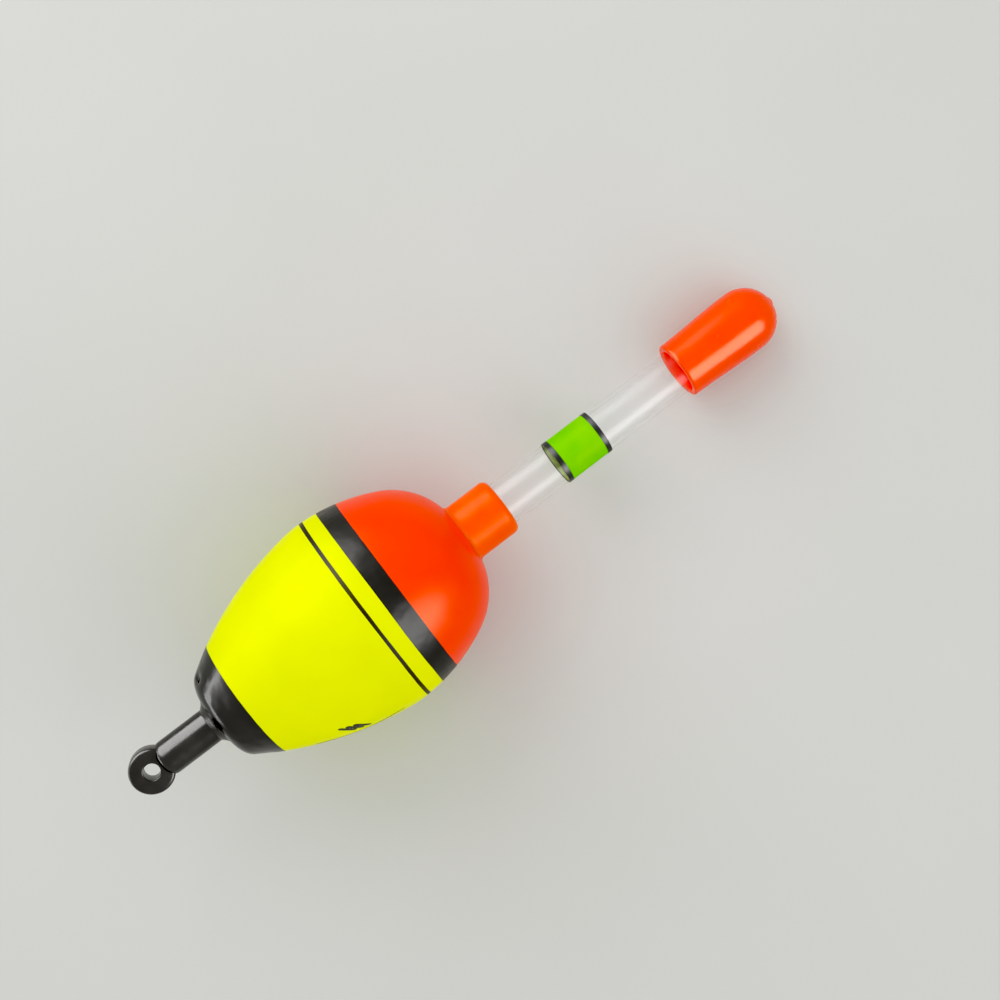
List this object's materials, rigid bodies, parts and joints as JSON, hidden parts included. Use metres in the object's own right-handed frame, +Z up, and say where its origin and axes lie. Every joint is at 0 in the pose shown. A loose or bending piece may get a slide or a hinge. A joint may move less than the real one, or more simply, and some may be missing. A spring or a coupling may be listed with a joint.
{
  "type": "bobber float",
  "caption": "Egg-shaped line float with a line eye at its tail, a clear antenna tube that takes a light stick and a soft cap that pulls off.",
  "frame": {"origin": "centre of the line-eye hole at the tail", "axes": "+Z up with the float lying on its side; +X along the float towards the cap, seen from above; the float's own axis drops 8.715 degrees below +X, so that its belly and its cap touch one level surface 18.92 mm under the origin"},
  "size_m": [0.103, 0.0276, 0.0277],
  "materials": {
    "foam": "matte",
    "black_paint": "satin",
    "yellow_paint": "satin",
    "orange_paint": "satin",
    "weight_brass": "satin",
    "black_plastic": "satin",
    "soft_orange": "satin",
    "cap_orange": "gloss",
    "clear_plastic": "gloss",
    "stop_plastic": "matte",
    "green_film": "satin",
    "black_film": "satin"
  },
  "bodies": {
    "float": {"foam_core": "foam", "tail_coat": "black_paint", "yellow_coat": "yellow_paint", "thin_line": "black_paint", "wide_band": "black_paint", "orange_coat": "orange_paint", "ballast_weight": "weight_brass", "tail_plug": "black_plastic", "collar": "soft_orange", "antenna_tube": "clear_plastic", "stick_stop": "stop_plastic", "green_sleeve": "green_film", "sleeve_ring_lower": "black_film", "sleeve_ring_upper": "black_film"},
    "cap": {"tip_cap": "cap_orange"}
  },
  "joints": [
    {"name": "cap_pull", "type": "slide", "parent": "float", "child": "cap", "axis": [0.9885, 0, -0.1515], "range_m": [0, 0.06]}
  ]
}
